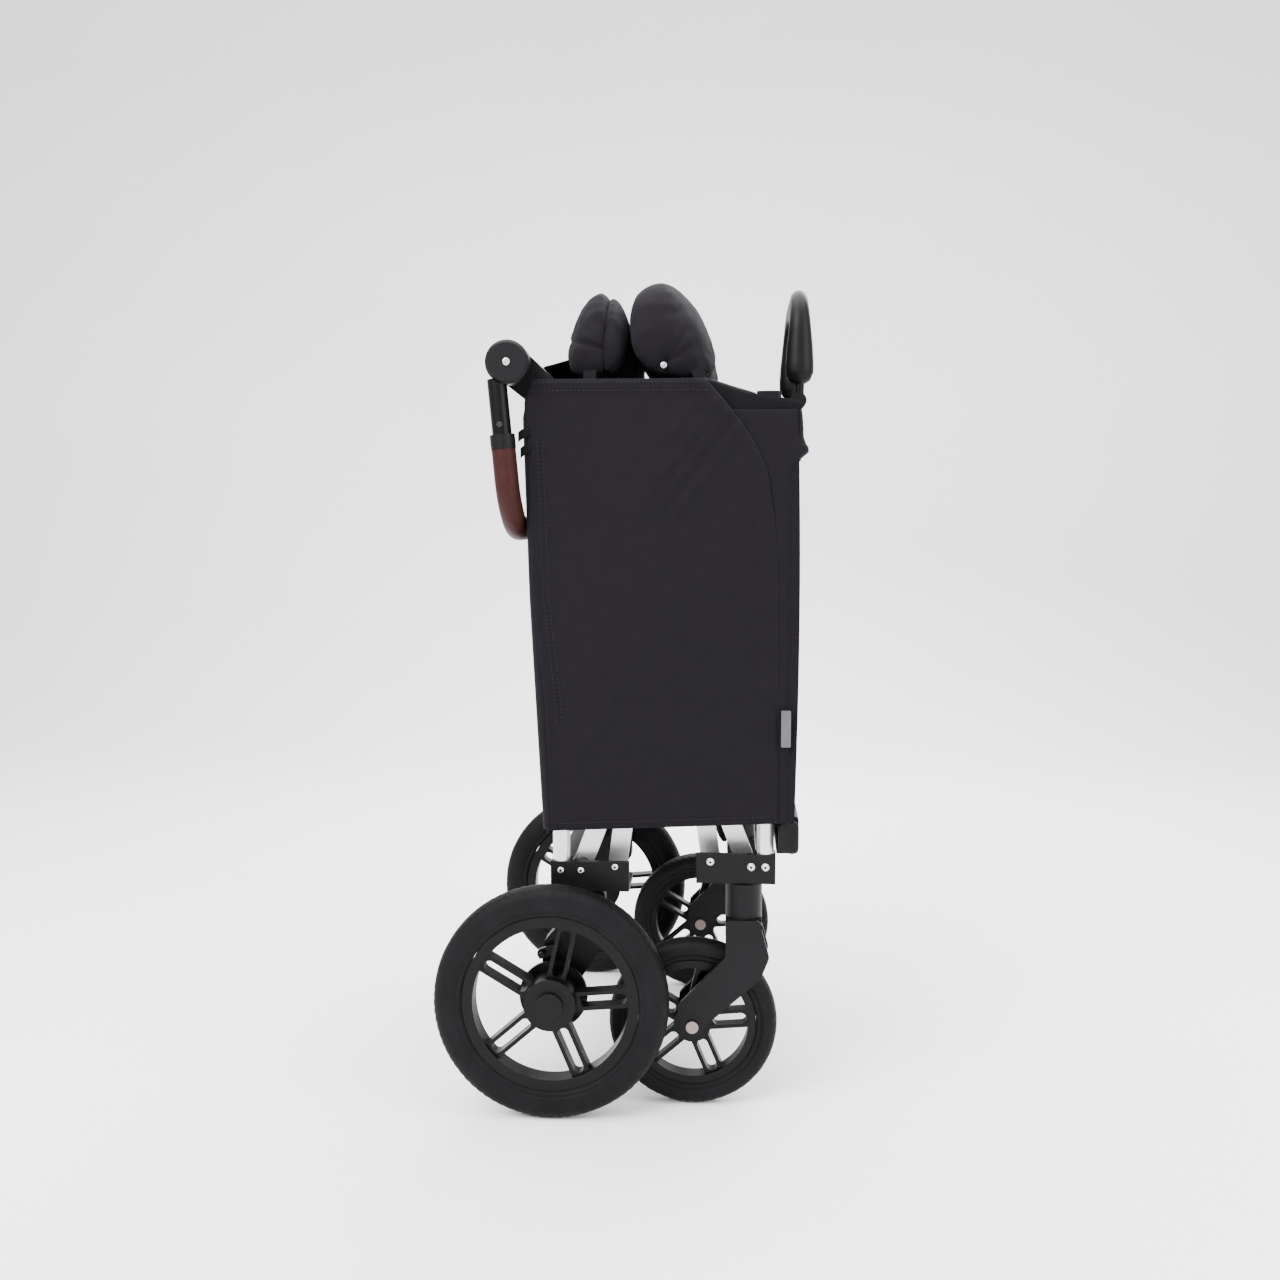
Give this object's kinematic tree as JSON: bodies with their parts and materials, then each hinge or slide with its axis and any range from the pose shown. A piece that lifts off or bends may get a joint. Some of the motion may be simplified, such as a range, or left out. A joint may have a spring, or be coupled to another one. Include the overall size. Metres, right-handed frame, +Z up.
{
  "type": "pet stroller",
  "caption": "Folding wagon-type pet stroller, folded: scissor-linked aluminium frame, charcoal fabric cabin with padded hoods, leather push handle, swivel front wheels and spoked rear wheels.",
  "frame": {"origin": "on the floor, under the middle of the folded stroller's box", "axes": "+X is the direction of travel, +Y is the stroller's left, +Z is up"},
  "size_m": [0.4775, 0.608, 1.064],
  "materials": {
    "silver_tube": "satin anodised tube",
    "zinc_bolt": "bright zinc",
    "axle_steel": "plain steel",
    "tyre": "matte foamed rubber with a fine tread",
    "wheel_plastic": "satin moulded nylon",
    "black_plastic": "fine-textured moulded nylon",
    "buckle_plastic": "grey moulded plate",
    "black_tube": "satin black powder coat",
    "grip_rubber": "smooth satin grip",
    "leather": "red-brown stitched leather",
    "fabric": "charcoal woven polyester",
    "mat_fabric": "quilted charcoal pad"
  },
  "bodies": {
    "rear_frame": {"rear_posts": "silver_tube", "rear_bracket_left": "black_plastic", "rear_bracket_right": "black_plastic", "rear_cross_beam": "black_tube", "rear_bracket_bolts": "zinc_bolt", "rear_legs": "black_plastic", "rear_axle": "axle_steel", "hub_base_left": "black_plastic", "hub_base_right": "black_plastic", "rear_top_bar": "black_tube", "rear_hood_mounts": "black_plastic", "side_cover_left": "fabric", "side_cover_right": "fabric", "rear_wall": "fabric"},
    "front_frame": {"front_posts": "silver_tube", "front_bracket_left": "black_plastic", "front_bracket_right": "black_plastic", "front_cross_beam": "black_tube", "front_bracket_bolts": "zinc_bolt", "front_top_rail": "black_tube", "rail_joints": "black_plastic", "front_wall": "fabric", "front_bumper": "black_plastic", "side_buckles": "buckle_plastic", "front_handle_clamps": "black_plastic"},
    "rear_arms": {"rear_scissor_arms": "silver_tube", "arm_rivets": "zinc_bolt"},
    "front_arms": {"front_scissor_arms": "silver_tube"},
    "rear_slider": {"rear_sliders": "black_plastic"},
    "front_slider": {"front_sliders": "black_plastic"},
    "rear_floor": {"rear_floor_frame": "silver_tube", "rear_floor_mat": "mat_fabric"},
    "front_floor": {"front_floor_frame": "silver_tube", "front_floor_mat": "mat_fabric"},
    "push_handle": {"push_handle_tube": "black_tube", "leather_grip": "leather", "grip_collars": "black_plastic", "hub_covers": "black_plastic", "handle_screws": "zinc_bolt"},
    "left_hub_button": {"hub_button_left": "black_plastic"},
    "right_hub_button": {"hub_button_right": "black_plastic"},
    "front_handle": {"front_handle_frame": "black_tube", "front_handle_grip": "grip_rubber"},
    "brake": {"brake_pedal": "black_tube"},
    "rear_hood": {"rear_hood": "fabric", "rear_hood_arms": "black_plastic"},
    "front_hood": {"front_hood": "fabric", "front_hood_arms": "black_plastic"},
    "left_fork": {"fork_left": "black_plastic", "front_wheel_bolt_left": "zinc_bolt"},
    "left_front_wheel": {"front_rim_left": "wheel_plastic", "front_tyre_left": "tyre"},
    "left_rear_wheel": {"rear_rim_left": "wheel_plastic", "rear_tyre_left": "tyre"},
    "right_fork": {"fork_right": "black_plastic", "front_wheel_bolt_right": "zinc_bolt"},
    "right_front_wheel": {"front_rim_right": "wheel_plastic", "front_tyre_right": "tyre"},
    "right_rear_wheel": {"rear_rim_right": "wheel_plastic", "rear_tyre_right": "tyre"}
  },
  "joints": [
    {"name": "fold", "type": "slide", "parent": "rear_frame", "child": "front_frame", "axis": [1, 0, 0], "range_m": [0, 0.34]},
    {"name": "rear_arm_swing", "type": "hinge", "parent": "rear_frame", "child": "rear_arms", "pos_m": [-0.055, 0, 0.312], "axis": [0, 1, 0], "range_deg": [0, 47.42]},
    {"name": "front_arm_swing", "type": "hinge", "parent": "front_frame", "child": "front_arms", "pos_m": [0.157, 0, 0.312], "axis": [0, -1, 0], "range_deg": [0, 47.42]},
    {"name": "rear_slider_drop", "type": "slide", "parent": "rear_frame", "child": "rear_slider", "axis": [0, 0, -1], "range_m": [0, 0.3355]},
    {"name": "front_slider_drop", "type": "slide", "parent": "front_frame", "child": "front_slider", "axis": [0, 0, -1], "range_m": [0, 0.3355]},
    {"name": "rear_floor_fold", "type": "hinge", "parent": "rear_frame", "child": "rear_floor", "pos_m": [-0.011, 0, 0.312], "axis": [0, 1, 0], "range_deg": [0, 82.01]},
    {"name": "front_floor_fold", "type": "hinge", "parent": "front_frame", "child": "front_floor", "pos_m": [0.111, 0, 0.312], "axis": [0, -1, 0], "range_deg": [0, 82.01]},
    {"name": "push_handle_swing", "type": "hinge", "parent": "rear_frame", "child": "push_handle", "pos_m": [-0.14, 0, 0.95], "axis": [0, 1, 0], "range_deg": [0, 180]},
    {"name": "front_handle_swing", "type": "hinge", "parent": "front_frame", "child": "front_handle", "pos_m": [0.222, 0, 0.913], "axis": [0, 1, 0], "range_deg": [0, 100]},
    {"name": "brake_press", "type": "hinge", "parent": "rear_frame", "child": "brake", "pos_m": [-0.091, 0, 0.205], "axis": [0, -1, 0], "range_deg": [0, 15]},
    {"name": "rear_hood_tilt", "type": "hinge", "parent": "rear_frame", "child": "rear_hood", "pos_m": [-0.045, 0, 0.915], "axis": [0, -1, 0], "range_deg": [0, 30]},
    {"name": "front_hood_tilt", "type": "hinge", "parent": "front_frame", "child": "front_hood", "pos_m": [0.106, 0, 0.915], "axis": [0, 1, 0], "range_deg": [0, 35]},
    {"name": "left_hub_button_press", "type": "slide", "parent": "rear_frame", "child": "left_hub_button", "axis": [0, 1, 0], "range_m": [0, 0.005], "stiffness_N_per_m": 400, "springref_m": -0.002},
    {"name": "left_caster_swivel", "type": "hinge", "parent": "front_frame", "child": "left_fork", "pos_m": [0.154, 0.222, 0.25], "axis": [0, 0, 1], "range_deg": [-5, 300]},
    {"name": "left_front_wheel_spin", "type": "hinge", "parent": "left_fork", "child": "left_front_wheel", "pos_m": [0.089, 0.222, 0.109], "axis": [0, 1, 0], "continuous": true},
    {"name": "left_rear_wheel_spin", "type": "hinge", "parent": "rear_frame", "child": "left_rear_wheel", "pos_m": [-0.089, 0.28, 0.15], "axis": [0, 1, 0], "continuous": true},
    {"name": "right_hub_button_press", "type": "slide", "parent": "rear_frame", "child": "right_hub_button", "axis": [0, -1, 0], "range_m": [0, 0.005], "stiffness_N_per_m": 400, "springref_m": -0.002},
    {"name": "right_caster_swivel", "type": "hinge", "parent": "front_frame", "child": "right_fork", "pos_m": [0.154, -0.222, 0.25], "axis": [0, 0, -1], "range_deg": [-5, 300]},
    {"name": "right_front_wheel_spin", "type": "hinge", "parent": "right_fork", "child": "right_front_wheel", "pos_m": [0.089, -0.222, 0.109], "axis": [0, 1, 0], "continuous": true},
    {"name": "right_rear_wheel_spin", "type": "hinge", "parent": "rear_frame", "child": "right_rear_wheel", "pos_m": [-0.089, -0.28, 0.15], "axis": [0, 1, 0], "continuous": true}
  ],
  "couplings": [
    {"joint": "rear_arm_swing", "follows": "fold", "rad_per_m": 2.434},
    {"joint": "front_arm_swing", "follows": "fold", "rad_per_m": 2.434},
    {"joint": "rear_slider_drop", "follows": "fold", "ratio": 0.98674},
    {"joint": "front_slider_drop", "follows": "fold", "ratio": 0.98674},
    {"joint": "rear_floor_fold", "follows": "fold", "rad_per_m": 4.2093},
    {"joint": "front_floor_fold", "follows": "fold", "rad_per_m": 4.2093}
  ]
}
